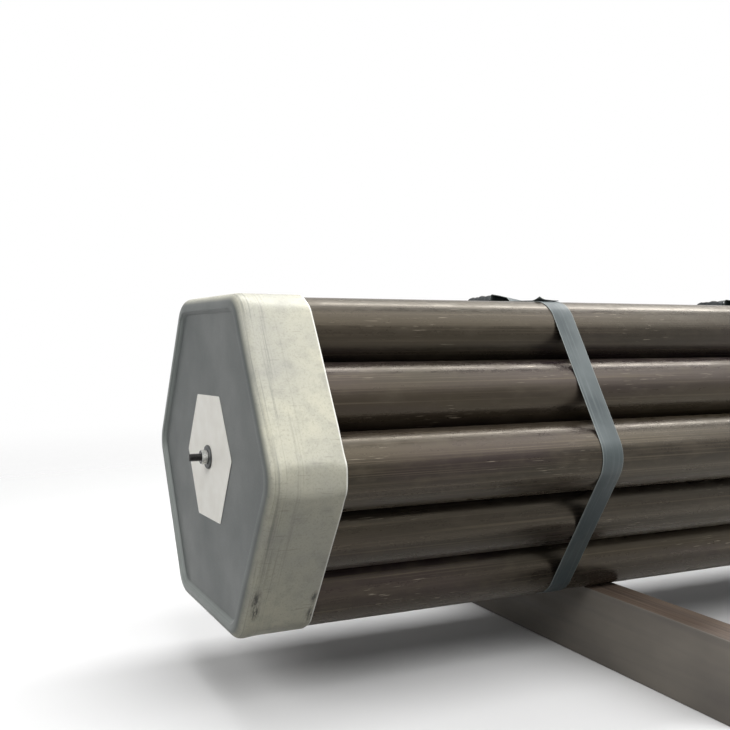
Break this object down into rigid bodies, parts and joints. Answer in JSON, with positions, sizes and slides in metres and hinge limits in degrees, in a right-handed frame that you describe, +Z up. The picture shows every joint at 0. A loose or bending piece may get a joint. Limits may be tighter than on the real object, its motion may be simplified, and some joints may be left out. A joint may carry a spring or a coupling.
{
  "type": "bundle of steel pipes",
  "caption": "Hexagonal bundle of thin-walled steel pipes with pressed sheet end caps, a central tie rod, steel straps and two low timber bearers.",
  "frame": {"origin": "on the floor, under the middle of the bundle along its length and its width", "axes": "+X along the pipes towards the far end cap, +Y across the bundle, +Z up; the picture is taken from the -Y side of the near end, which is at -X"},
  "size_m": [3.0566, 0.7, 0.5121],
  "materials": {
    "pipe_steel": "dark mill scale under a thin clear oil film, glossy in long streaks",
    "cap_galvanised": "galvanised sheet, satin, mottled and lightly scratched",
    "label_sheet": "plain white sticker, satin",
    "washer_steel": "dull dark zinc",
    "nut_zinc": "bright zinc",
    "rod_steel": "black threaded rod, oiled",
    "strap_steel": "blue-grey painted steel strapping, satin",
    "seal_steel": "blue-grey painted sheet steel, worn bright at the bent edges",
    "bearer_timber": "laminated timber, its sides greyed, its top edge brown"
  },
  "bodies": {
    "root": {"bearer_1": "bearer_timber", "bearer_2": "bearer_timber", "end_cap_far": "cap_galvanised", "end_cap_near": "cap_galvanised", "label_far": "label_sheet", "label_near": "label_sheet", "nut_far": "nut_zinc", "nut_near": "nut_zinc", "pipe_1_1": "pipe_steel", "pipe_1_2": "pipe_steel", "pipe_1_3": "pipe_steel", "pipe_2_1": "pipe_steel", "pipe_2_2": "pipe_steel", "pipe_2_3": "pipe_steel", "pipe_2_4": "pipe_steel", "pipe_3_1": "pipe_steel", "pipe_3_2": "pipe_steel", "pipe_3_3": "pipe_steel", "pipe_3_4": "pipe_steel", "pipe_3_5": "pipe_steel", "pipe_4_1": "pipe_steel", "pipe_4_2": "pipe_steel", "pipe_4_3": "pipe_steel", "pipe_4_4": "pipe_steel", "pipe_5_1": "pipe_steel", "pipe_5_2": "pipe_steel", "pipe_5_3": "pipe_steel", "strap_1": "strap_steel", "strap_2": "strap_steel", "strap_3": "strap_steel", "strap_4": "strap_steel", "strap_seal_1": "seal_steel", "strap_seal_2": "seal_steel", "strap_seal_3": "seal_steel", "strap_seal_4": "seal_steel", "tie_rod": "rod_steel", "washer_far": "washer_steel", "washer_near": "washer_steel"}
  },
  "joints": []
}
